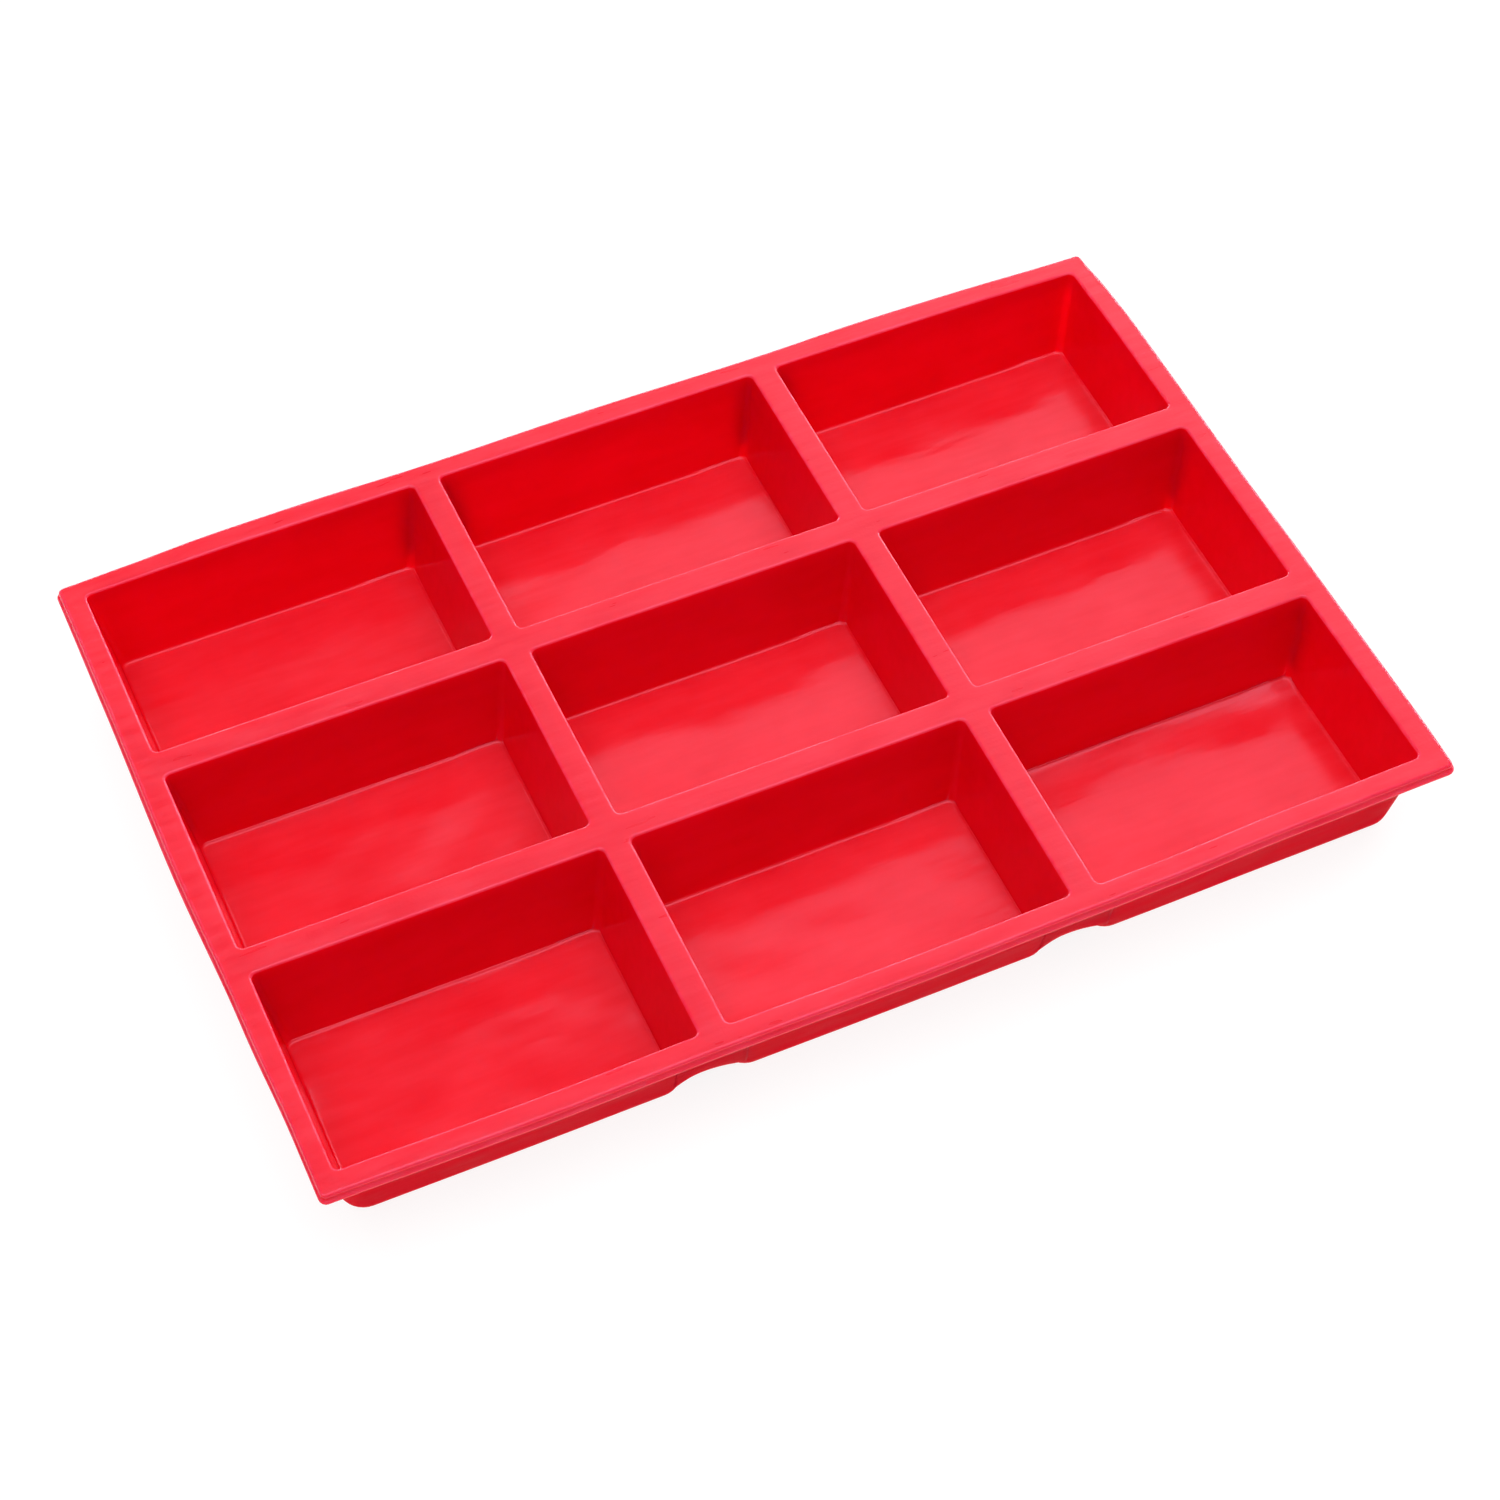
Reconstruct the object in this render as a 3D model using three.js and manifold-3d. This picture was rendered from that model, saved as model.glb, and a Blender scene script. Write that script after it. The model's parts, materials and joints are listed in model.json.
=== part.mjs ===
// A silicone soap mould with nine bar-shaped cavities, in millimetres, +Z up.
// The origin is at the middle of the footprint, on the surface that the cup floors stand on.
// X runs along the long side of the tray and of each bar, and the back row is at +Y.
//
// The real mould is one moulding. Here it is a top sheet, which carries the nine mouths and the
// rim, nine cups, which hang from the sheet's flat underside and meet it face to face, and eight
// webs, which close the slots between the cups where the slots reach the tray's sides.

import * as THREE from "three";
import { mergeVertices } from "three/addons/utils/BufferGeometryUtils.js";
import Module from "manifold-3d";

// Driving sizes
const BAR_LENGTH = 85; // a mouth, along X, at the top face
const BAR_WIDTH = 54; // a mouth, along Y, at the top face
const BAR_DEPTH = 25; // top face to cavity floor
const COLUMN_DIVIDER = 6.5; // top sheet between two mouths side by side along X
const ROW_DIVIDER = 7.2; // top sheet between two mouths side by side along Y
const RIM_MARGIN = 6; // outer mouth to the rim's edge
const SHEET = 3; // thickness of the top sheet
const WALL = 2.2; // thickness of a cup's side wall, square to it
const FLOOR = 2; // thickness of a cup's floor
const DRAFT = THREE.MathUtils.degToRad(9.3); // lean of every wall from upright
const MOUTH_CORNER_R = 1.6; // a cavity's corner in plan, at the top face
const FOOT_CORNER_R = 2; // the same corner at the foot of the walls
const FLOOR_FILLET = 0.9; // inside, wall to floor
const LIP_R = 0.4; // rounded edge of a mouth
const CUP_CORNER_R = 6; // a cup's outside corner in plan
const CUP_FOOT_R = 4; // outside, wall to the underside of the cup
const RIM_CORNER_R = 2; // the tray's corner in plan
const RIM_EDGE_R = 1.2; // rounded edge of the rim, above and below
const RIM_EDGE_SHARE = 0.4; // the most that one rounded edge takes of the sheet's thickness
const ROOT_FILLET = 1.2; // outside, wall to the sheet's underside
const ROOT_SHARE = 0.35; // the most that one root fillet takes of the slot between two cups
const WEB_BOTTOM = 7; // height of a web's lower edge
const MESH_GAP = 0.3; // between a web and the cups that it is cut to fit

// How finely curves are cut
const CORNER_STEPS = 5; // a quarter circle in plan
const FILLET_STEPS = 3; // a fillet or a rounded edge in section
const LEAST_CORNER_R = 0.3; // a corner in plan never gets sharper than this
const OVERSHOOT = 1; // how far a cutting plug stands past the face that it cuts
const MERGE_DISTANCE = 1e-4; // points closer than this are one point

// What follows from them
const COLUMNS = ["left", "centre", "right"];
const ROWS = ["front", "middle", "back"];
const PITCH_X = BAR_LENGTH + COLUMN_DIVIDER;
const PITCH_Y = BAR_WIDTH + ROW_DIVIDER;
const TOP = BAR_DEPTH + FLOOR; // height of the top face
const SHEET_UNDERSIDE = TOP - SHEET;
const RIM_LENGTH = (COLUMNS.length - 1) * PITCH_X + BAR_LENGTH + 2 * RIM_MARGIN;
const RIM_WIDTH = (ROWS.length - 1) * PITCH_Y + BAR_WIDTH + 2 * RIM_MARGIN;
const QUARTER_TURN = Math.PI / 2;

const wasm = await Module();
wasm.setup();

// How far a wall leans in from the mouth's edge at height z, if it is moved `outward` from the
// cavity's own wall, square to itself.
function wallInset(z, outward = 0) {
  return (TOP - z) * Math.tan(DRAFT) - outward / Math.cos(DRAFT);
}

// Sections are lists of { inset, z }: how far a ring is inside the mouth's edge, and its height.
function sectionArc(inset, z, radius, from, to) {
  const curve = new THREE.EllipseCurve(inset, z, radius, radius, from, to, to < from);
  return curve.getPoints(FILLET_STEPS).map((p) => ({ inset: p.x, z: p.y }));
}

// The bend from a level floor up into a leaning wall.
function footSection(floorZ, outward, radius) {
  const tangentZ = floorZ + radius * (1 - Math.sin(DRAFT));
  const centre = wallInset(tangentZ, outward) + radius * Math.cos(DRAFT);
  return sectionArc(centre, floorZ + radius, radius, 3 * QUARTER_TURN, 2 * QUARTER_TURN + DRAFT);
}

// The rounded edge from a cavity's leaning wall up to the top face.
function lipSection() {
  const tangentZ = TOP - LIP_R * (1 - Math.sin(DRAFT));
  const centre = wallInset(tangentZ) - LIP_R * Math.cos(DRAFT);
  return sectionArc(centre, TOP - LIP_R, LIP_R, DRAFT, QUARTER_TURN);
}

// The flare from a cup's outside wall up into the sheet's underside.
function rootSection() {
  const slot = Math.min(COLUMN_DIVIDER, ROW_DIVIDER) + 2 * wallInset(SHEET_UNDERSIDE, WALL);
  const radius = Math.min(ROOT_FILLET, ROOT_SHARE * slot);
  const tangentZ = SHEET_UNDERSIDE - radius * (1 - Math.sin(DRAFT));
  const centre = wallInset(tangentZ, WALL) - radius * Math.cos(DRAFT);
  return sectionArc(centre, SHEET_UNDERSIDE - radius, radius, DRAFT, QUARTER_TURN);
}

// The rim's outer edge, rounded below and above, seen as inset from the rim's full size.
function rimSection() {
  const radius = Math.min(RIM_EDGE_R, RIM_EDGE_SHARE * SHEET);
  const lower = sectionArc(radius, SHEET_UNDERSIDE + radius, radius, 3 * QUARTER_TURN, 2 * QUARTER_TURN);
  const upper = sectionArc(radius, TOP - radius, radius, 2 * QUARTER_TURN, QUARTER_TURN);
  return [...lower, ...upper];
}

// One level ring of a solid: a rounded rectangle at height z, anticlockwise from above.
function ring(length, width, cornerRadius, z) {
  const radius = Math.max(cornerRadius, LEAST_CORNER_R);
  const corners = [[1, 1], [-1, 1], [-1, -1], [1, -1]];
  return corners.flatMap(([signX, signY], quarter) => {
    const x = signX * (length / 2 - radius);
    const y = signY * (width / 2 - radius);
    const from = quarter * QUARTER_TURN;
    const corner = new THREE.EllipseCurve(x, y, radius, radius, from, from + QUARTER_TURN);
    return corner.getPoints(CORNER_STEPS).map((p) => new THREE.Vector3(p.x, p.y, z));
  });
}

// A ring whose section point is { inset, z }, on a wall `outward` from the cavity's own. Its corner
// has the wall's corner radius, and follows the section where that leaves the straight wall.
function wallRing({ inset, z }, outward, wallRadius) {
  const radius = wallRadius - (inset - wallInset(z, outward));
  return ring(BAR_LENGTH - 2 * inset, BAR_WIDTH - 2 * inset, radius, z);
}

// A ring of a cavity's wall, whose corner grows from mouth to foot.
function cavityRing(point) {
  const share = THREE.MathUtils.clamp((TOP - point.z) / BAR_DEPTH, 0, 1);
  return wallRing(point, 0, THREE.MathUtils.lerp(MOUTH_CORNER_R, FOOT_CORNER_R, share));
}

// The rings of a cup's outside, from its flat underside up, moved out level by `grow`.
function cupRings(grow = 0) {
  const section = [...footSection(0, WALL, CUP_FOOT_R), ...rootSection()];
  return section.map(({ inset, z }) => wallRing({ inset: inset - grow, z }, WALL, CUP_CORNER_R));
}

function rimRing({ inset, z }) {
  return ring(RIM_LENGTH - 2 * inset, RIM_WIDTH - 2 * inset, RIM_CORNER_R - inset, z);
}

// A closed solid through a stack of rings, from the lowest to the highest.
function loft(rings) {
  const count = rings[0].length;
  const index = [];
  for (let level = 0; level + 1 < rings.length; level += 1) {
    for (let i = 0; i < count; i += 1) {
      const a = level * count + i;
      const b = level * count + ((i + 1) % count);
      index.push(a, b, b + count, a, b + count, a + count);
    }
  }
  const top = (rings.length - 1) * count;
  THREE.ShapeUtils.triangulateShape(rings[0], []).forEach(([a, b, c]) => index.push(c, b, a));
  THREE.ShapeUtils.triangulateShape(rings.at(-1), []).forEach((corners) => {
    index.push(...corners.map((corner) => top + corner));
  });
  const geometry = new THREE.BufferGeometry().setFromPoints(rings.flat());
  geometry.setIndex(index);
  return solidOf(geometry);
}

function solidOf(geometry) {
  const merged = mergeVertices(geometry, MERGE_DISTANCE);
  const vertProperties = merged.attributes.position.array;
  const triVerts = new Uint32Array(merged.index.array);
  return new wasm.Manifold(new wasm.Mesh({ numProp: 3, vertProperties, triVerts }));
}

function geometryOf(solid) {
  const { vertProperties, triVerts } = solid.getMesh();
  const geometry = new THREE.BufferGeometry();
  geometry.setAttribute("position", new THREE.BufferAttribute(vertProperties, 3));
  geometry.setIndex(new THREE.BufferAttribute(triVerts, 1));
  geometry.computeVertexNormals();
  return geometry;
}

// The space that one bar of soap fills, carried on past the top face.
function cavityPlug() {
  const foot = footSection(FLOOR, 0, FLOOR_FILLET);
  const lip = lipSection();
  const walls = [...foot, ...lip].map(cavityRing);
  const lid = walls.at(-1).map((point) => point.clone().setZ(TOP + OVERSHOOT));
  return loft([...walls, lid]);
}

// One cup, from its flat underside up to the sheet's underside, with the bar's space cut out.
function cupSolid(plug) {
  return loft(cupRings()).subtract(plug);
}

// A web across the slot beside a cup, about that cup's centre, on its +Y side or its +X side. The
// slot is half a pitch away, and the web's outer face is in one plane with the cup's outside.
function webSolid(alongX) {
  const [halfWidth, pitch] = alongX ? [BAR_WIDTH / 2, PITCH_X] : [BAR_LENGTH / 2, PITCH_Y];
  const reach = (alongX ? COLUMN_DIVIDER : ROW_DIVIDER) / 2 + CUP_CORNER_R;
  const rings = [WEB_BOTTOM, SHEET_UNDERSIDE].map((z) => {
    const outer = halfWidth - wallInset(z, WALL);
    const inner = outer - WALL / Math.cos(DRAFT);
    const corners = [[-reach, inner], [reach, inner], [reach, outer], [-reach, outer]];
    return corners.map(([along, out]) => (alongX
      ? new THREE.Vector3(pitch / 2 + along, out, z)
      : new THREE.Vector3(out, pitch / 2 - along, z)));
  });
  const outline = cupRings(MESH_GAP);
  const lid = outline.at(-1).map((point) => point.clone().setZ(SHEET_UNDERSIDE + OVERSHOOT));
  const cup = loft([...outline, lid]);
  const nextCup = cup.translate(alongX ? [pitch, 0, 0] : [0, pitch, 0]);
  return loft(rings).subtract(cup).subtract(nextCup);
}

const silicone = new THREE.MeshStandardMaterial({
  name: "silicone",
  color: 0xe4142b,
  roughness: 0.42,
  metalness: 0,
});

function addMesh(group, name, solid) {
  const mesh = new THREE.Mesh(geometryOf(solid), silicone.clone());
  mesh.name = name;
  group.add(mesh);
  return mesh;
}

const mould = new THREE.Group();
mould.name = "soap_mould";

const plug = cavityPlug();
const cup = cupSolid(plug);
let sheet = loft(rimSection().map(rimRing));

ROWS.forEach((rowName, row) => {
  COLUMNS.forEach((columnName, column) => {
    const x = (column - (COLUMNS.length - 1) / 2) * PITCH_X;
    const y = (row - (ROWS.length - 1) / 2) * PITCH_Y;
    addMesh(mould, `cup_${rowName}_${columnName}`, cup).position.set(x, y, 0);
    sheet = sheet.subtract(plug.translate([x, y, 0]));
  });
});
addMesh(mould, "top_sheet", sheet);

// Each web is beside the first of the two cups that it joins. The far side's webs are mirrored.
const rowWeb = webSolid(true);
const columnWeb = webSolid(false);
const middles = [-1, 0];
middles.forEach((step) => {
  const end = (names) => (step < 0 ? names[0] : names.at(-1));
  const x = step * PITCH_X;
  const y = step * PITCH_Y;
  addMesh(mould, `web_back_${end(COLUMNS)}`, rowWeb).position.set(x, PITCH_Y, 0);
  addMesh(mould, `web_front_${end(COLUMNS)}`, rowWeb.mirror([0, 1, 0])).position.set(x, -PITCH_Y, 0);
  addMesh(mould, `web_right_${end(ROWS)}`, columnWeb).position.set(PITCH_X, y, 0);
  addMesh(mould, `web_left_${end(ROWS)}`, columnWeb.mirror([1, 0, 0])).position.set(-PITCH_X, y, 0);
});

export default mould;
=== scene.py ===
"""A red silicone soap mould tray with nine bar-shaped cavities, on a plain pale floor.

One continuous silicone skin stands for the top sheet and the nine cups of the CAD frame. The skin
is built in metres from the frame's own boxes, then given the small bends that an unwired silicone
tray has, and a procedural silicone material.
"""

import json
import math

import bpy
import numpy as np
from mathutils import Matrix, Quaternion, Vector


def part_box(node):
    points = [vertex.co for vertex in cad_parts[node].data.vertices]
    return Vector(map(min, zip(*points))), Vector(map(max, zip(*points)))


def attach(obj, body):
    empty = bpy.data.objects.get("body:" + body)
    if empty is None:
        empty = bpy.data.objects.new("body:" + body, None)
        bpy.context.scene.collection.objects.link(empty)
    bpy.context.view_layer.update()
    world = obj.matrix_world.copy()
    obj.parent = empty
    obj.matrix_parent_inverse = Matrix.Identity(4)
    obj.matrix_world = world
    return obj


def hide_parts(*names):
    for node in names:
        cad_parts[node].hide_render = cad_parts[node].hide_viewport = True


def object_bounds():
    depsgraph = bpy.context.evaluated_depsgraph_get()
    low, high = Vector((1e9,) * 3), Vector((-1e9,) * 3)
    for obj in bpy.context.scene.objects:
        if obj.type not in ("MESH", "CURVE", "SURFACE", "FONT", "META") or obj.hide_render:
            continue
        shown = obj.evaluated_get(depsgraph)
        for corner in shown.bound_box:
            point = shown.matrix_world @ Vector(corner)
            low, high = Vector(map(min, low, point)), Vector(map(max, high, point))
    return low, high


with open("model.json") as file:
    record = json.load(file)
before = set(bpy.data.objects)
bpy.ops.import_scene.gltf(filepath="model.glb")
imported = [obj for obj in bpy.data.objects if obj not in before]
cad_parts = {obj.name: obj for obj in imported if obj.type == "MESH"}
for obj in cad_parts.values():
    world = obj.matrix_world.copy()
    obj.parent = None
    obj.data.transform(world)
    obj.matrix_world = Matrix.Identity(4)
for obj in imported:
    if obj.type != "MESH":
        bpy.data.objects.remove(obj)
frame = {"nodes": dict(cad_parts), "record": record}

cad_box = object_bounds()

MM = 0.001

# Sizes that the frame's boxes don't give; they are the CAD model's own
COLUMN_DIVIDER = 6.5 * MM
ROW_DIVIDER = 7.2 * MM
WALL = 2.2 * MM
DRAFT = math.radians(9.3)
MOUTH_CORNER_R = 1.6 * MM
FOOT_CORNER_R = 2 * MM
FLOOR_FILLET = 0.9 * MM
ROOT_FILLET = 1.2 * MM
RIM_CORNER_R = 2 * MM
CUP_CORNER_R = 6 * MM  # a cup's outside corner in plan
CUP_FOOT_R = 4 * MM
WEB_BOTTOM = 7 * MM
ROOT_SHARE = 0.35  # the most that one root fillet takes of the slot between two cups

# Sizes of this model only
LIP_R = 0.65 * MM  # a mouth's edge, softer than the CAD model's
RIM_EDGE = 1.4 * MM  # how far in from the rim's edge its rounding starts
WEB_THICKNESS = 1.7 * MM  # thin enough to end inside a cup's wall
WEB_SHORT = 0.4 * MM  # how far short of the end of a cup's rounded corner a web ends
WEB_BURIED = 1 * MM  # how far its top goes up into the sheet
WEB_DISH = 0.3 * MM  # how hollow its outer face is
ARCH_SHIFT = -0.35  # of half its length, for the arches under the front and back webs

# How finely the skin is cut
SIDE_X = 20  # along a long side, between its corners
SIDE_Y = 13  # along a short side, between its corners
CORNER = 8  # round a corner in plan; a multiple of 4
ARC = 6  # round a fillet in section
WALL_STEPS = 7
FLAT_STEPS = 3  # across the flat sheet, from a mouth to the middle of a divider
WEB_STEPS = 24
SUPPORT = 0.35 * MM  # a ring this far from a fillet keeps the flat beside it flat
CLOSE = 0.01 * MM  # points of the rim nearer than this are one point

COLUMNS = ("left", "centre", "right")
ROWS = ("front", "middle", "back")


# The frame's own measures

def middle(node):
    low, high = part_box(node)
    return (Vector(low) + Vector(high)) / 2


CENTRES = {(r, c): middle(f"cup_{row}_{column}")
           for r, row in enumerate(ROWS) for c, column in enumerate(COLUMNS)}
PITCH_X = CENTRES[0, 1].x - CENTRES[0, 0].x
PITCH_Y = CENTRES[1, 0].y - CENTRES[0, 0].y
MOUTH_X = PITCH_X - COLUMN_DIVIDER
MOUTH_Y = PITCH_Y - ROW_DIVIDER
TRAY_X = cad_box[1][0] - cad_box[0][0]
TRAY_Y = cad_box[1][1] - cad_box[0][1]
TOP = cad_box[1][2]
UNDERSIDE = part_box("top_sheet")[0][2]
FLOOR = next(m["pos_m"][2] for m in frame["record"]["mounts"] if m["name"] == "bar_seat_front_left")


# The camera: it looks from VIEW_DISTANCE away at AIM, a point of the sheet's top face

AIM = Vector((-7 * MM, -22.4 * MM, TOP))
VIEW_AZIMUTH = math.radians(-23.3)
VIEW_ELEVATION = math.radians(51.97)
VIEW_ROLL = math.radians(-0.85)
VIEW_DISTANCE = 817.5 * MM
LENS_MM = 84.3
SENSOR_MM = 36

# The lights: name, place, size (m), power (W) and the point that each faces
LIGHTS = (
    ("overhead", (-0.1, -0.25, 1.6), (1.8, 1.6), 21.5, (-0.1, -0.25, 0)),
    ("key", (0.80, 0.95, 1.3), (1.1, 0.9), 4.5, (0, 0, 0)),
    ("back", (-0.72, 1.3, 1.45), (0.45, 0.4), 0.8, (0, 0, 0)),
    ("left", (-1.6, 0.1, 1.3), (1.0, 1.0), 3, (0, 0, 0)),
    ("low back", (0.3, 2.0, 0.5), (2.4, 0.45), 26, (0, 0, 0)),
    ("low right", (1.75, 1.1, 0.7), (1.6, 0.45), 26, (0, 0, 0)),
)
SKY = 0.45
GROUND_WHITE = 0.15
GROUND_GLOW = 0.875

# The silicone
SCATTER_SHARE = 0.9
SCATTER_REACH = (1.0, 0.03, 0.06)  # red light goes much farther inside than green and blue
SCATTER_SCALE = 5 * MM
MOTTLE_SCALE = 55  # noise cells per metre
STREAK_SCALE = 260
STREAK_STRETCH = (0.25, 1.5, 1)
GRAIN_SCALE = 1400
BUMP_STRENGTH = 0.3
# Its clouding goes between two colours. On walls (DEEP) and on level faces (PAINTED_SHEEN), red is
# added to the finish's own red, and PAINTED_SHEEN's green and blue are shares of the finish's pale
DEEP = ((-0.03, 0.0001, 0.006), (0.03, 0.0003, 0.011))
# Level faces are painted paler than walls, a painted sheen for the light that falls on them
PAINTED_SHEEN = ((-0.02, 0.2, 0.8), (0.04, 1, 2))
LEVEL_POWER = 3  # how quickly the painted sheen fades as a face tilts
EDGE_LEVEL_POWER = 0.3  # the same for the rim's edge and the lips, painted pale nearly all over as a painted highlight
EDGE_PALE = 0.03  # a finish paler than this is that of an edge

# The finishes, in the order of these indices: the sheet, the cavities, the outside of the cups,
# and the rim's edge with the lips
SATIN, GLOSS, MATT_SHADED, RIM_HIGHLIGHT = range(4)
FINISHES = (
    dict(name="silicone_satin", red=0.65, pale=0.017, ior=1.43, roughness=0.34, specular=0.5,
         grain=0.1 * MM, streaks=0.4 * MM),
    dict(name="silicone_gloss", red=0.68, pale=0.014, ior=1.43, roughness=0.15, specular=0.5,
         grain=0.02 * MM, streaks=0.2 * MM),
    # The outside of the cups and the webs: a matte finish, and its lower red is painted shade for
    # the shade under the sheet
    dict(name="silicone_matt", red=0.60, pale=0.010, ior=1.12, roughness=0.6, specular=0.3,
         grain=0.1 * MM, streaks=0.3 * MM),
    # The rim's edge and the lips: their higher red and pale are a painted highlight
    dict(name="silicone_rim", red=0.70, pale=0.050, ior=1.43, roughness=0.13, specular=0.5,
         grain=0.03 * MM, streaks=0.2 * MM),
)


# Sections: lists of (inset from the mouth's edge, height)

def wall_inset(z, outward=0.0):
    """Inset of the leaning wall at height z, if moved `outward` square to itself."""
    return (TOP - z) * math.tan(DRAFT) - outward / math.cos(DRAFT)


def arc(inset, z, radius, start, end, steps=ARC):
    angles = np.linspace(start, end, steps + 1)
    return [(inset + radius * math.cos(a), z + radius * math.sin(a)) for a in angles]


def wall(z_from, z_to, outward=0.0):
    """Rings down a straight wall, between two heights, with a support ring near each end."""
    inner = np.linspace(z_from - SUPPORT, z_to + SUPPORT, WALL_STEPS)
    return [(wall_inset(z, outward), z) for z in inner]


def lip_section():
    centre_z = TOP - LIP_R
    centre = wall_inset(centre_z + LIP_R * math.sin(DRAFT)) - LIP_R * math.cos(DRAFT)
    return arc(centre, centre_z, LIP_R, math.pi / 2, DRAFT)


def foot_section(floor_z, outward, radius):
    centre_z = floor_z + radius
    tangent_z = centre_z - radius * math.sin(DRAFT)
    centre = wall_inset(tangent_z, outward) + radius * math.cos(DRAFT)
    turn = arc(centre, centre_z, radius, math.pi + DRAFT, 1.5 * math.pi)
    return turn + [(centre + SUPPORT, floor_z)]


def root_section():
    slot = min(COLUMN_DIVIDER, ROW_DIVIDER) + 2 * wall_inset(UNDERSIDE, WALL)
    radius = min(ROOT_FILLET, ROOT_SHARE * slot)
    centre_z = UNDERSIDE - radius
    tangent_z = centre_z + radius * math.sin(DRAFT)
    centre = wall_inset(tangent_z, WALL) - radius * math.cos(DRAFT)
    return arc(centre, centre_z, radius, math.pi / 2, DRAFT)


def cavity_section():
    lip = lip_section()
    foot = foot_section(FLOOR, 0.0, FLOOR_FILLET)
    return lip + wall(lip[-1][1], foot[0][1]) + foot


def cup_section():
    root = root_section()
    foot = foot_section(0.0, WALL, CUP_FOOT_R)
    return root + wall(root[-1][1], foot[0][1], WALL) + foot


# Rings in plan: all have the same number of points, anticlockwise from the middle of the
# front-left corner, so that any two can be joined by quads

CORNER_SIGNS = ((-1, -1), (1, -1), (1, 1), (-1, 1))
SIDE_STEPS = (SIDE_X, SIDE_Y, SIDE_X, SIDE_Y)
HALF = CORNER // 2


def line(start, end, steps):
    """Points from start up to, but not including, end."""
    share = np.linspace(0, 1, steps, endpoint=False)[:, None]
    return np.asarray(start) * (1 - share) + np.asarray(end) * share


def bend(centre, radius, start, steps, turn=math.pi / 4):
    angles = start + turn * np.linspace(0, 1, steps, endpoint=False)
    return np.asarray(centre) + radius * np.stack([np.cos(angles), np.sin(angles)], 1)


def rounded_ring(half_x, half_y, radius):
    parts = []
    for side, steps in enumerate(SIDE_STEPS):
        start = math.pi * (1.25 + 0.5 * side)
        here, there = (np.array(CORNER_SIGNS[k % 4]) * (half_x - radius, half_y - radius)
                       for k in (side, side + 1))
        out = np.array([math.cos(start + math.pi / 4), math.sin(start + math.pi / 4)]) * radius
        parts += [bend(here, radius, start, HALF),
                  line(here + out, there + out, steps),
                  bend(there, radius, start + math.pi / 4, HALF)]
    return np.concatenate(parts)


def border_ring(low, high, side_x, side_y, radii):
    """The edge of one cell's share of the sheet, from low to high, with each corner's radius.
    side_x and side_y are where the mouth's own straight sides end."""
    corners = np.array([(low[0], low[1]), (high[0], low[1]), (high[0], high[1]), (low[0], high[1])])
    parts = []
    for side, steps in enumerate(SIDE_STEPS):
        start = math.pi * (1.25 + 0.5 * side)
        out = np.round([math.cos(start + math.pi / 4), math.sin(start + math.pi / 4)])
        here, there = (corners[k % 4] for k in (side, side + 1))
        signs, next_signs = (np.array(CORNER_SIGNS[k % 4]) for k in (side, side + 1))
        run = np.abs(here - there) > 1e-9
        first = np.where(run, signs * (side_x, side_y), here)
        last = np.where(run, next_signs * (side_x, side_y), there)
        ends = ((here, signs, radii[side], True), (there, next_signs, radii[(side + 1) % 4], False))
        for corner, sign, radius, leaving in ends:
            centre = corner - sign * radius
            tangent = centre + out * radius
            if leaving and radius:
                parts += [bend(centre, radius, start, HALF // 2), line(tangent, first, HALF // 2)]
            elif leaving:
                parts.append(line(corner, first, HALF))
            elif radius:
                parts += [line(last, tangent, HALF // 2),
                          bend(centre, radius, start + math.pi / 4, HALF // 2)]
            else:
                parts.append(line(last, corner, HALF))
            if leaving:
                parts.append(line(first, last, steps))
    return np.concatenate(parts)


def wall_ring(inset, z, outward, wall_radius):
    """A ring on a wall: its corner has the wall's radius, and follows the section where that
    leaves the straight wall."""
    radius = wall_radius - (inset - wall_inset(z, outward))
    return rounded_ring(MOUTH_X / 2 - inset, MOUTH_Y / 2 - inset, radius)


def cavity_ring(inset, z):
    share = min(max((TOP - z) / (TOP - FLOOR), 0.0), 1.0)
    return wall_ring(inset, z, 0.0, MOUTH_CORNER_R + share * (FOOT_CORNER_R - MOUTH_CORNER_R))


def cup_ring(inset, z):
    return wall_ring(inset, z, WALL, CUP_CORNER_R)


def floor_grid(edge):
    """Points of a quad grid that fills a ring, row by row from the front, by a Coons patch."""
    nx, ny = SIDE_X + CORNER, SIDE_Y + CORNER
    loop = np.concatenate([edge, edge[:1]])
    front = loop[:nx + 1]
    right = loop[nx:nx + ny + 1]
    back = loop[nx + ny:2 * nx + ny + 1][::-1]
    left = loop[2 * nx + ny:][::-1]
    u = np.linspace(0, 1, nx + 1)[None, :, None]
    v = np.linspace(0, 1, ny + 1)[:, None, None]
    sides = (1 - u) * left[:, None] + u * right[:, None] + (1 - v) * front[None] + v * back[None]
    corners = ((1 - u) * (1 - v) * front[0] + u * (1 - v) * front[-1]
               + (1 - u) * v * back[0] + u * v * back[-1])
    return sides - corners


# How the real tray departs from its drawing: smooth, small bends, in metres

# For each cup (mm): how far its floor curves up to its back wall, how far it rises to its right
# wall, how far from that wall the rise starts; and how uneven the floor is
FLOOR_SHAPES = {
    "front_left": (0.2, 0.8, 26, 1.4),
    "front_centre": (0.1, 0.75, 18, 1.2),
    "front_right": (0.9, 0.4, 13, 1.4),
    "middle_left": (0.3, 0.7, 20, 1.5),
    "middle_centre": (0.0, 0.6, 15, 1.0),
    "middle_right": (0.0, 0.4, 13, 0.8),
    "back_left": (0.0, 0.5, 16, 0.8),
    "back_centre": (0.0, 0.6, 15, 0.8),
    "back_right": (0.0, 0.4, 13, 0.9),
}
COVE_REACH = 9 * MM  # how far from its back wall a floor's curve starts
UNEVEN = 0.15 * MM  # the height of the unevenness, times a floor's own number above
WAVE_LENGTH = 34 * MM  # the longest waves of the unevenness
WAVES = 4
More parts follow.
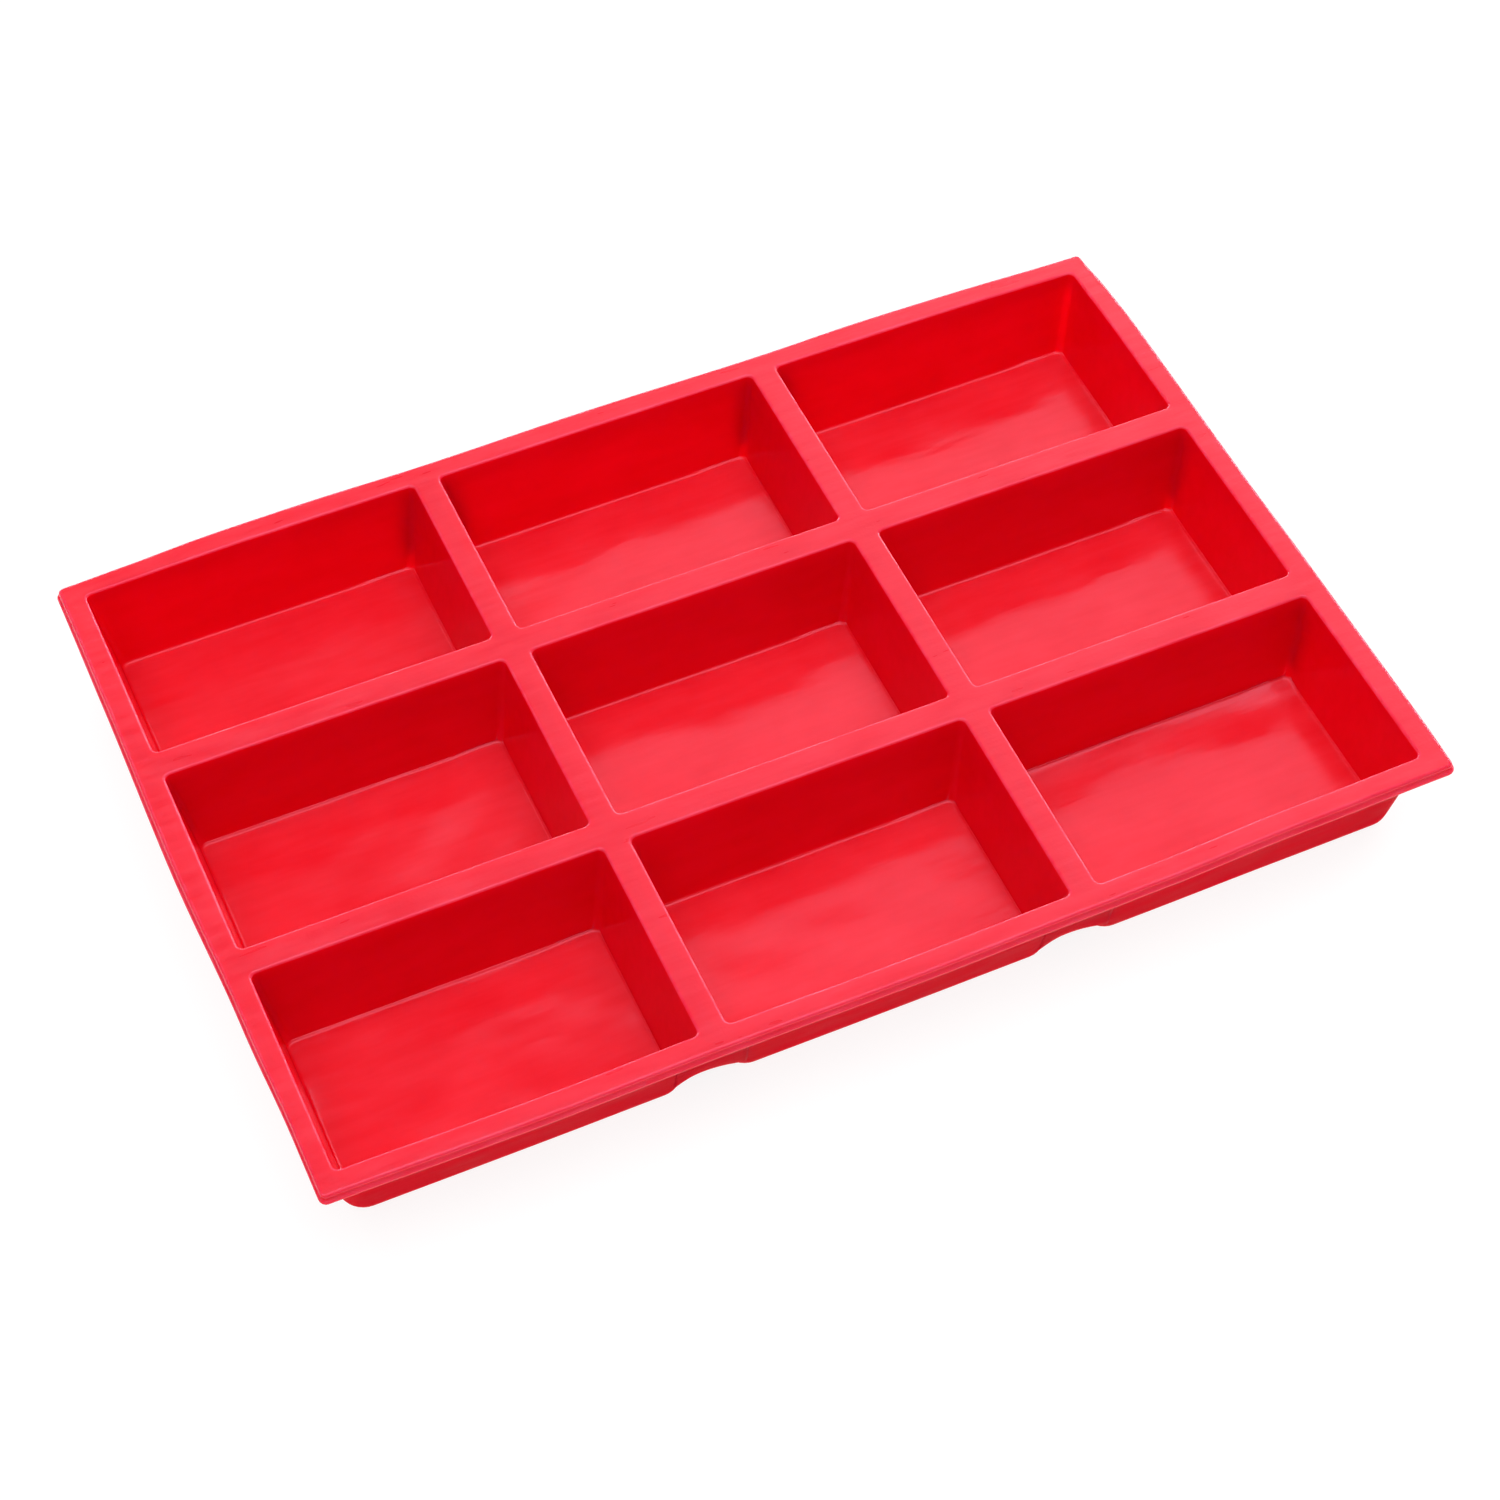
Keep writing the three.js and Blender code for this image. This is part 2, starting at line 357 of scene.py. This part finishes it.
FLOOR_BAND = 1.2 * MM  # the floor's bends take the cavity's points up to this height above it
PUCKER = 0.35 * MM  # a low ridge near each floor's back right corner
PUCKER_IN = 7 * MM  # its distance from the right wall
PUCKER_WIDTH = 3.5 * MM
PUCKER_REACH = 9 * MM

# Where each side of the rim stands out from the drawing: (place along the side, how far out), mm
LEFT_BOW = ((-94, -0.8), (-76, -0.85), (-46, -0.15), (2, 0.9), (56, 0.4), (91, 0.2))
RIGHT_BOW = ((-94, 0.6), (-80, 0.9), (-22, 0.65), (5, 0.3), (65, 0.35), (80, 0.1), (92, -0.8))
BACK_BOW = ((-139, -0.6), (-124, -0.2), (-100, 0.45), (-75, 0.65), (-46, 0.15), (0, 0.75),
            (46, 0.15), (75, 0.65), (100, 0.3), (137, 0.0))
# The same of the front, where the walls flare and the rim hangs
FRONT_FLARE = ((-140, 1.7), (-85, 2.5), (-46, 2.0), (0, 2.4), (46, 1.9), (62, 1.7), (100, 0.6),
               (138, 0.1))
FLARE_OUT = 0.75  # the share of it that goes outward at the rim
FOOT_OUT = 0.2  # and at the foot
FLARE_SAG = 0.3  # the share of it that the rim drops
BEND_POWER = 1.3  # how quickly the bends fade from the rim down to the foot
CORNER_SAG = 1.2 * MM  # of the two back corners


def waves(x, y, seed):
    """A smooth uneven field of about unit height, longer along X than along Y."""
    total = 0
    for k in range(WAVES):
        turn = seed * 1.7 + k * 2.1
        fx = (0.5 + 0.35 * k) / WAVE_LENGTH
        fy = (0.8 + 0.45 * k) / WAVE_LENGTH
        phase = 2 * math.pi * (fx * x * math.cos(turn) + fy * y) + 3 * turn
        total = total + np.sin(phase) / (1 + 0.6 * k)
    return total / 1.6


def curve(knots, at):
    """A smooth wave through (place, height) pairs in mm, with its crests at the places."""
    places, heights = np.array(knots).T
    index = np.clip(np.searchsorted(places, at / MM) - 1, 0, len(places) - 2)
    share = np.clip((at / MM - places[index]) / (places[index + 1] - places[index]), 0, 1)
    share = (1 - np.cos(math.pi * share)) / 2
    return MM * (heights[index] * (1 - share) + heights[index + 1] * share)


def ramp(value, start, end):
    share = np.clip((value - start) / (end - start), 0, 1)
    return share * share * (3 - 2 * share)


def relaxed(points):
    """The points, moved by the tray's small bends."""
    moved = points.copy()
    x, y, z = points.T
    for (row, column), centre in CENTRES.items():
        cove, side_rise, side_reach, uneven = FLOOR_SHAPES[f"{ROWS[row]}_{COLUMNS[column]}"]
        half_x, half_y = MOUTH_X / 2 - wall_inset(FLOOR), MOUTH_Y / 2 - wall_inset(FLOOR)
        u, v = (x - centre.x) / half_x, (y - centre.y) / half_y
        on_floor = (abs(u) < 1.001) & (abs(v) < 1.001) & (z < FLOOR + FLOOR_BAND) & (z > FLOOR / 2)
        edge = np.clip(1 - u ** 2, 0, 1) * np.clip(1 - v ** 2, 0, 1)
        hold = np.clip(edge * 6, 0, 1) ** 0.8
        lift = uneven * UNEVEN * waves(x - centre.x, y - centre.y, 3 * row + column) * hold
        rise = cove * MM * np.clip(1 - (1 - v) * half_y / COVE_REACH, 0, 1) ** 2
        rise += side_rise * MM * np.clip(1 - (1 - u) * half_x / (side_reach * MM), 0, 1) ** 2
        across = ((1 - u) * half_x - PUCKER_IN) / PUCKER_WIDTH
        ridge = PUCKER * np.exp(-across ** 2) * np.exp(-((1 - v) * half_y / PUCKER_REACH) ** 2)
        moved[:, 2] += np.where(on_floor, lift + rise + ridge, 0)
    mouth_x, mouth_y = PITCH_X + MOUTH_X / 2, PITCH_Y + MOUTH_Y / 2
    margin_x, margin_y = TRAY_X / 2 - mouth_x, TRAY_Y / 2 - mouth_y
    moved[:, 0] -= curve(LEFT_BOW, y) * np.clip((-x - mouth_x) / margin_x, 0, 1)
    moved[:, 0] += curve(RIGHT_BOW, y) * np.clip((x - mouth_x) / margin_x, 0, 1)
    moved[:, 1] += curve(BACK_BOW, x) * np.clip((y - mouth_y) / margin_y, 0, 1)
    high = np.clip(z / TOP, 0, 1) ** BEND_POWER
    flare = curve(FRONT_FLARE, x) * ramp(-y, PITCH_Y / 2, mouth_y)
    moved[:, 1] -= flare * (FOOT_OUT + (FLARE_OUT - FOOT_OUT) * high)
    moved[:, 2] -= FLARE_SAG * flare * high
    sag = CORNER_SAG * ramp(abs(x), PITCH_X, TRAY_X / 2) * ramp(y, PITCH_Y, TRAY_Y / 2)
    moved[:, 2] -= sag * high
    return moved


# The skin

class Skin:
    """Points and quads as they are made; points in one place become one point at the end."""

    def __init__(self):
        self.points = []
        self.quads = []
        self.finishes = []
        self.count = 0

    def add(self, grid, finish, closed=False, flip=False):
        """Joins the points of a grid (rows, columns, 3) by quads, all with one finish."""
        rows, columns = grid.shape[:2]
        ids = self.count + np.arange(rows * columns).reshape(rows, columns)
        self.points.append(grid.reshape(-1, 3))
        self.count += rows * columns
        if closed:
            ids = np.concatenate([ids, ids[:, :1]], 1)
        quads = np.stack([ids[:-1, :-1], ids[:-1, 1:], ids[1:, 1:], ids[1:, :-1]], -1).reshape(-1, 4)
        self.quads.append(quads[:, ::-1] if flip else quads)
        self.finishes.append(np.full(len(quads), finish))

    def welded(self):
        points = np.concatenate(self.points)
        quads = np.concatenate(self.quads)
        _, first, same = np.unique(np.round(points / (0.001 * MM)), axis=0,
                                   return_index=True, return_inverse=True)
        return points[first], same.reshape(-1)[quads]


def at_height(ring, z):
    return np.concatenate([ring, np.full((len(ring), 1), z)], 1)


def cell_border(row, column):
    """One cell's share of the flat sheet, about the cell's own centre."""
    centre = CENTRES[row, column]
    edge_x = TRAY_X / 2 - RIM_EDGE
    edge_y = TRAY_Y / 2 - RIM_EDGE
    low = [-edge_x - centre.x if column == 0 else -PITCH_X / 2,
           -edge_y - centre.y if row == 0 else -PITCH_Y / 2]
    high = [edge_x - centre.x if column == 2 else PITCH_X / 2,
            edge_y - centre.y if row == 2 else PITCH_Y / 2]
    tray_corners = ((0, 0), (0, 2), (2, 2), (2, 0))
    radii = [RIM_CORNER_R - RIM_EDGE if (row, column) == corner else 0.0 for corner in tray_corners]
    return border_ring(low, high, MOUTH_X / 2 - MOUTH_CORNER_R, MOUTH_Y / 2 - MOUTH_CORNER_R, radii)


def add_face(skin, section, ring, sheet_z, sheet_finish, lip_finish, finish, flip):
    """One face of the moulding: the flat sheet at sheet_z and, from it, nine hollows or cups."""
    rings = [ring(inset, z) for inset, z in section]
    heights = [z for _, z in section]
    for (row, column), centre in CENTRES.items():
        border = cell_border(row, column)
        shares = np.linspace(0, 1, FLAT_STEPS + 1)
        flat = [at_height(border * (1 - s) + rings[0] * s, sheet_z) for s in shares]
        down = [at_height(level, z) for level, z in zip(rings[1:], heights[1:])]
        place = np.array([centre.x, centre.y, 0.0])
        skin.add(np.stack(flat) + place, sheet_finish, closed=True, flip=flip)
        skin.add(np.stack(flat[-1:] + down[:ARC]) + place, lip_finish, closed=True, flip=flip)
        skin.add(np.stack(down[ARC - 1:]) + place, finish, closed=True, flip=flip)
        floor = floor_grid(rings[-1])
        floor = np.concatenate([floor, np.full(floor.shape[:2] + (1,), heights[-1])], 2)
        skin.add(floor + place, finish, flip=flip)


def rim_section():
    """The rim's edge from the top face to the underside: (how far out from the flat, height).
    A rounded upper edge set back from a lower lip that stands proud, with a shallow groove between
    them where the two halves of the die met."""
    upper_r = 0.8 * MM
    lip_r = 0.6 * MM
    step = 0.6 * MM
    groove = 0.3 * MM
    lip_z = UNDERSIDE + lip_r
    face = RIM_EDGE - step
    upper = arc(face - upper_r, TOP - upper_r, upper_r, math.pi / 2, 0)
    groove_z = (upper[-1][1] + lip_z + lip_r) / 2
    seam = [(face, groove_z + 0.3 * MM), (face - groove, groove_z + 0.1 * MM),
            (face - groove, groove_z - 0.1 * MM)]
    lip = arc(RIM_EDGE - lip_r, lip_z, lip_r, math.radians(80), -math.pi / 2, 8)
    return upper + seam + lip


def add_rim(skin):
    """The edge of the sheet all round, from the top face's flat to the underside's."""
    loops = []
    half_x = TRAY_X / 2 - RIM_EDGE
    half_y = TRAY_Y / 2 - RIM_EDGE
    radius = RIM_CORNER_R - RIM_EDGE
    points = perimeter()
    core = np.clip(points, [-half_x + radius, -half_y + radius], [half_x - radius, half_y - radius])
    out = (points - core) / radius
    for reach, z in [(0.0, TOP)] + rim_section() + [(0.0, UNDERSIDE)]:
        loops.append(at_height(core + out * (radius + reach), z))
    skin.add(np.stack(loops), RIM_HIGHLIGHT, closed=True, flip=True)


def perimeter():
    """The outer edge of the flat sheet: the cells' own border points, anticlockwise."""
    half_x = TRAY_X / 2 - RIM_EDGE
    half_y = TRAY_Y / 2 - RIM_EDGE
    points = np.concatenate([cell_border(r, c) + np.array(CENTRES[r, c][:2]) for r, c in CENTRES])
    radius = RIM_CORNER_R - RIM_EDGE
    core = np.clip(points, [-half_x + radius, -half_y + radius], [half_x - radius, half_y - radius])
    on_edge = np.abs(np.linalg.norm(points - core, axis=1) - radius) < CLOSE
    points = points[on_edge]
    _, first = np.unique(np.round(points / CLOSE), axis=0, return_index=True)
    points = points[first]
    return points[np.argsort(np.arctan2(points[:, 1] / half_y, points[:, 0] / half_x))]


def build_skin():
    skin = Skin()
    add_face(skin, cavity_section(), cavity_ring, TOP, SATIN, RIM_HIGHLIGHT, GLOSS, flip=False)
    add_face(skin, cup_section(), cup_ring, UNDERSIDE, MATT_SHADED, MATT_SHADED, MATT_SHADED, flip=True)
    add_rim(skin)
    points, quads = skin.welded()
    points = relaxed(points)
    mesh = bpy.data.meshes.new("silicone_tray")
    mesh.from_pydata(points.tolist(), [], quads.tolist())
    mesh.polygons.foreach_set("use_smooth", [True] * len(mesh.polygons))
    mesh.polygons.foreach_set("material_index", np.concatenate(skin.finishes))
    tray = bpy.data.objects.new("silicone_tray", mesh)
    bpy.context.scene.collection.objects.link(tray)
    return tray


def web_profile(low):
    """A web's section, closed: (how far in from its outer face, height)."""
    half = WEB_THICKNESS / 2
    buried = UNDERSIDE + WEB_BURIED
    face = [(0.0, z) for z in np.linspace(buried, low + half, 10)]
    edge = [(half - half * math.cos(a), low + half - half * math.sin(a))
            for a in np.linspace(0, math.pi, 9)[1:-1]]
    back = [(WEB_THICKNESS, z) for z in np.linspace(low + half, buried, 10)]
    return face + edge + back


def build_web(node, centre, out, along, half_width, divider):
    """One web across the slot between two cups, where the slot reaches the tray's side. Its outer
    face is in one plane with the cups' walls, and its lower edge is an arch."""
    reach = divider / 2 + CUP_CORNER_R - WEB_SHORT
    loops = []
    peak = ARCH_SHIFT * reach if abs(along.x) else 0.0
    for u in np.linspace(-reach, reach, WEB_STEPS + 1):
        share = (u - peak) / (reach - peak if u > peak else reach + peak)
        low = WEB_BOTTOM - (WEB_BOTTOM - CUP_FOOT_R) * share ** 2
        dish = WEB_DISH * (1 - (u / reach) ** 2) ** 2
        loops.append([centre + along * u + out * (half_width - wall_inset(z, WALL) - depth - dish)
                      + Vector((0, 0, z)) for depth, z in web_profile(low)])
    count = len(loops[0])
    faces = []
    for i in range(len(loops) - 1):
        for k in range(count):
            a, b = i * count + k, i * count + (k + 1) % count
            faces.append((a, b, b + count, a + count))
    faces.append(tuple(range(count))[::-1])
    faces.append(tuple((len(loops) - 1) * count + k for k in range(count)))
    name = "silicone_" + node
    mesh = bpy.data.meshes.new(name)
    mesh.from_pydata([p for loop in loops for p in loop], [], faces)
    if out.cross(along).z > 0:
        mesh.flip_normals()
    mesh.polygons.foreach_set("use_smooth", [True] * len(mesh.polygons))
    points = np.empty(3 * len(mesh.vertices))
    mesh.vertices.foreach_get("co", points)
    mesh.vertices.foreach_set("co", relaxed(points.reshape(-1, 3)).reshape(-1))
    web = bpy.data.objects.new(name, mesh)
    bpy.context.scene.collection.objects.link(web)
    return web


def build_webs():
    x, y = Vector((1, 0, 0)), Vector((0, 1, 0))
    webs = []
    for sign, front, side in ((-1, "front", "left"), (1, "back", "right")):
        for step, (column, row) in enumerate((("left", "front"), ("right", "back"))):
            place = step - 0.5
            webs.append(build_web(f"web_{front}_{column}", x * place * PITCH_X + y * sign * PITCH_Y,
                                  y * sign, x, MOUTH_Y / 2, COLUMN_DIVIDER))
            webs.append(build_web(f"web_{side}_{row}", y * place * PITCH_Y + x * sign * PITCH_X,
                                  x * sign, y, MOUTH_X / 2, ROW_DIVIDER))
    return webs


def silicone_material(name, red, pale, ior, roughness, specular, grain, streaks):
    """Red translucent silicone with one of the moulding's finishes. pale is how pale its painted
    sheen is on level faces and thin edges; grain and streaks are the heights of its fine relief."""
    material = bpy.data.materials.new(name)
    material.use_nodes = True
    nodes, links = material.node_tree.nodes, material.node_tree.links
    shader = nodes["Principled BSDF"]
    shader.inputs["IOR"].default_value = ior
    shader.inputs["Specular IOR Level"].default_value = specular
    shader.inputs["Specular Tint"].default_value = (1, 0.7, 1, 1)
    shader.inputs["Subsurface Weight"].default_value = SCATTER_SHARE
    shader.inputs["Subsurface Radius"].default_value = SCATTER_REACH
    shader.inputs["Subsurface Scale"].default_value = SCATTER_SCALE
    place = nodes.new("ShaderNodeTexCoord")

    def noise(scale, stretch, detail):
        mapping = nodes.new("ShaderNodeMapping")
        mapping.inputs["Scale"].default_value = stretch
        links.new(place.outputs["Object"], mapping.inputs["Vector"])
        texture = nodes.new("ShaderNodeTexNoise")
        texture.inputs["Scale"].default_value = scale
        texture.inputs["Detail"].default_value = detail
        links.new(mapping.outputs["Vector"], texture.inputs["Vector"])
        return texture.outputs["Fac"]

    def ranged(value, low, high):
        change = nodes.new("ShaderNodeMapRange")
        change.inputs["From Min"].default_value = 0.3
        change.inputs["From Max"].default_value = 0.7
        change.inputs["To Min"].default_value = low
        change.inputs["To Max"].default_value = high
        links.new(value, change.inputs["Value"])
        return change.outputs["Result"]

    def bump(height, distance, normal=None):
        node = nodes.new("ShaderNodeBump")
        node.inputs["Strength"].default_value = BUMP_STRENGTH
        node.inputs["Distance"].default_value = distance
        links.new(height, node.inputs["Height"])
        if normal:
            links.new(normal, node.inputs["Normal"])
        return node.outputs["Normal"]

    def blend(factor, first, second):
        node = nodes.new("ShaderNodeMix")
        node.data_type = "RGBA"
        links.new(factor, node.inputs["Factor"])
        for value, socket in ((first, "A"), (second, "B")):
            if isinstance(value, tuple):
                node.inputs[socket].default_value = (*value, 1)
            else:
                links.new(value, node.inputs[socket])
        return node.outputs["Result"]

    mottle = noise(MOTTLE_SCALE, (1, 1, 1), 3)
    streak = noise(STREAK_SCALE, STREAK_STRETCH, 2)
    cloud = nodes.new("ShaderNodeMath")
    links.new(ranged(mottle, 0, 0.5), cloud.inputs[0])
    links.new(ranged(streak, 0, 0.5), cloud.inputs[1])

    # Level faces are painted paler than walls, a painted sheen for the light that falls on them;
    # walls keep the deep red
    up = nodes.new("ShaderNodeSeparateXYZ")
    links.new(nodes.new("ShaderNodeNewGeometry").outputs["Normal"], up.inputs["Vector"])
    level = nodes.new("ShaderNodeMath")
    level.operation = "POWER"
    level.use_clamp = True
    links.new(up.outputs["Z"], level.inputs[0])
    level.inputs[1].default_value = EDGE_LEVEL_POWER if pale > EDGE_PALE else LEVEL_POWER
    deep = [(red + r, g, b) for r, g, b in DEEP]
    painted_sheen = [(red + r, g * pale, b * pale) for r, g, b in PAINTED_SHEEN]
    shades = [blend(cloud.outputs["Value"], *pair) for pair in (deep, painted_sheen)]
    links.new(blend(level.outputs["Value"], *shades), shader.inputs["Base Color"])

    links.new(ranged(streak, roughness * 0.8, roughness * 1.2), shader.inputs["Roughness"])
    fine = bump(noise(GRAIN_SCALE, (1, 1, 1), 2), grain, bump(streak, streaks))
    links.new(fine, shader.inputs["Normal"])
    return material


# The camera, the floor and the light

def add_camera():
    data = bpy.data.cameras.new("camera")
    data.lens = LENS_MM
    data.sensor_width = SENSOR_MM
    data.clip_start = 0.01
    data.clip_end = 50
    camera = bpy.data.objects.new("camera", data)
    back = Vector((math.sin(VIEW_AZIMUTH) * math.cos(VIEW_ELEVATION),
                   -math.cos(VIEW_AZIMUTH) * math.cos(VIEW_ELEVATION),
                   math.sin(VIEW_ELEVATION)))
    camera.location = AIM + VIEW_DISTANCE * back
    level = back.to_track_quat("Z", "Y")
    camera.rotation_euler = (level @ Quaternion((0, 0, 1), VIEW_ROLL)).to_euler()
    bpy.context.scene.collection.objects.link(camera)
    bpy.context.scene.camera = camera


def add_floor():
    bpy.ops.mesh.primitive_circle_add(vertices=128, radius=12, fill_type="NGON")
    floor = bpy.context.object
    floor.name = "floor"
    material = bpy.data.materials.new("floor")
    material.use_nodes = True
    shader = material.node_tree.nodes["Principled BSDF"]
    shader.inputs["Base Color"].default_value = (GROUND_WHITE, GROUND_WHITE, GROUND_WHITE, 1)
    shader.inputs["Roughness"].default_value = 0.9
    shader.inputs["Specular IOR Level"].default_value = 0.1
    shader.inputs["Emission Color"].default_value = (1, 1, 1, 1)
    shader.inputs["Emission Strength"].default_value = GROUND_GLOW
    floor.data.materials.append(material)


def add_area(name, place, size, power, aim):
    data = bpy.data.lights.new(name, "AREA")
    data.shape = "RECTANGLE"
    data.size, data.size_y = size
    data.energy = power
    light = bpy.data.objects.new(name, data)
    light.location = place
    light.rotation_euler = (Vector(place) - Vector(aim)).to_track_quat("Z", "Y").to_euler()
    bpy.context.scene.collection.objects.link(light)


def add_light():
    world = bpy.data.worlds.new("studio")
    world.use_nodes = True
    world.node_tree.nodes["Background"].inputs["Color"].default_value = (1, 1, 1, 1)
    world.node_tree.nodes["Background"].inputs["Strength"].default_value = SKY
    bpy.context.scene.world = world
    for light in LIGHTS:
        add_area(*light)


add_camera()
tray = build_skin()
webs = build_webs()
finishes = [silicone_material(**finish) for finish in FINISHES]
for finish in finishes:
    tray.data.materials.append(finish)
for web in webs:
    web.data.materials.append(finishes[MATT_SHADED])
for piece in [tray, *webs]:
    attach(piece, "root")
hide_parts(*[node for node in frame["nodes"] if not node.startswith("web_")])
for web in webs:
    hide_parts(web.name.removeprefix("silicone_"))
add_floor()
add_light()
bpy.context.scene.view_settings.view_transform = "Standard"
